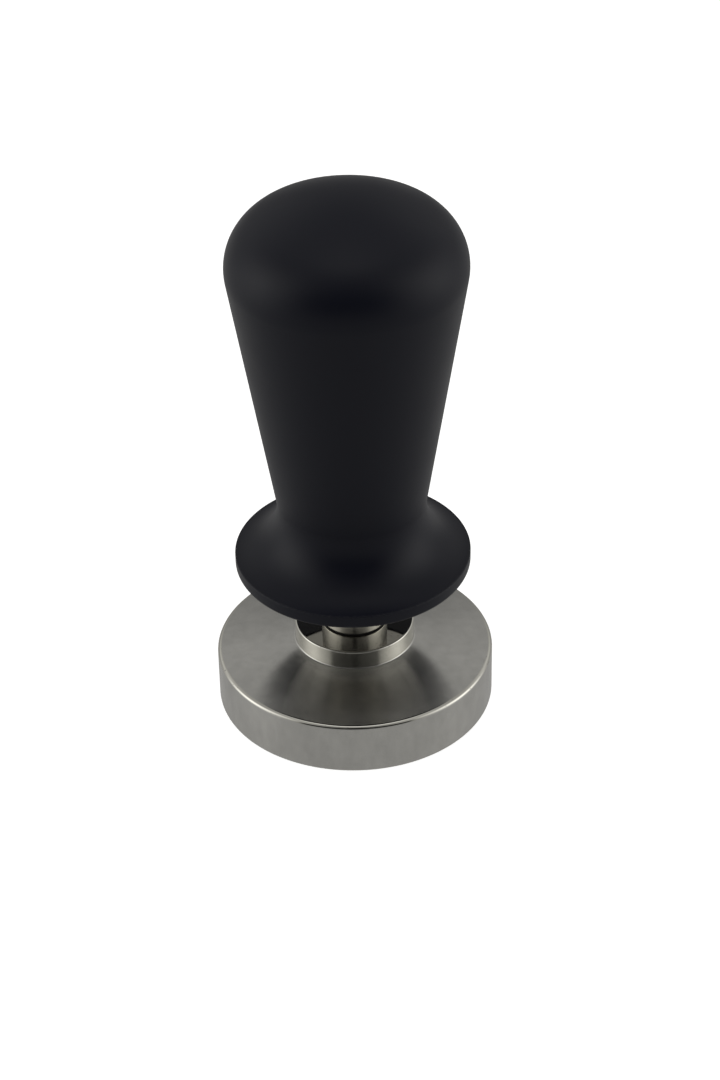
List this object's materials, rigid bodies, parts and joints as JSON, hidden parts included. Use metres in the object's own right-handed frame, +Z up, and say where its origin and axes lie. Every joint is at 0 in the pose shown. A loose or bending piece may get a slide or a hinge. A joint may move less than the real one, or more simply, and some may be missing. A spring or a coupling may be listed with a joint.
{
  "type": "espresso tamper",
  "caption": "Spring-loaded coffee tamper: steel base with a collar, polished plunger shaft and a black flared handle that slides and turns on it.",
  "frame": {"origin": "centre of the flat tamping face, on the surface that the tamper stands on", "axes": "+Z up the plunger's axis, from the tamping face to the top of the handle; +X and +Y lie across it"},
  "size_m": [0.051, 0.051, 0.103],
  "materials": {
    "brushed_stainless": "satin",
    "polished_stainless": "polished",
    "machined_steel": "satin",
    "spring_steel": "satin",
    "black_anodised": "satin",
    "bronze": "satin",
    "black_rubber": "matte",
    "white_nylon": "matte"
  },
  "bodies": {
    "base": {"tamping_base": "brushed_stainless", "base_seal_ring": "black_rubber", "joining_stud": "machined_steel", "plunger_shaft": "polished_stainless", "stop_washer": "machined_steel", "lower_spring_seat": "machined_steel", "lock_washer": "spring_steel", "head_screw": "machined_steel", "compression_spring": "spring_steel"},
    "spring_seat": {"upper_spring_seat": "machined_steel", "thrust_washer": "white_nylon"},
    "handle": {"handle_shell": "black_anodised", "retaining_nut": "machined_steel", "nut_seal_ring": "black_rubber", "guide_bush": "bronze", "wiper_ring": "black_rubber", "bumper_ring": "black_rubber", "preload_shim_1": "spring_steel", "preload_shim_2": "spring_steel"}
  },
  "joints": [
    {"name": "handle_press", "type": "slide", "parent": "base", "child": "spring_seat", "axis": [0, 0, -1], "range_m": [0, 0.013], "stiffness_N_per_m": 8200, "springref_m": -0.0028, "deforming": ["compression_spring"]},
    {"name": "handle_turn", "type": "hinge", "parent": "spring_seat", "child": "handle", "pos_m": [0, 0, 0.0866], "axis": [0, 0, 1], "continuous": true}
  ]
}
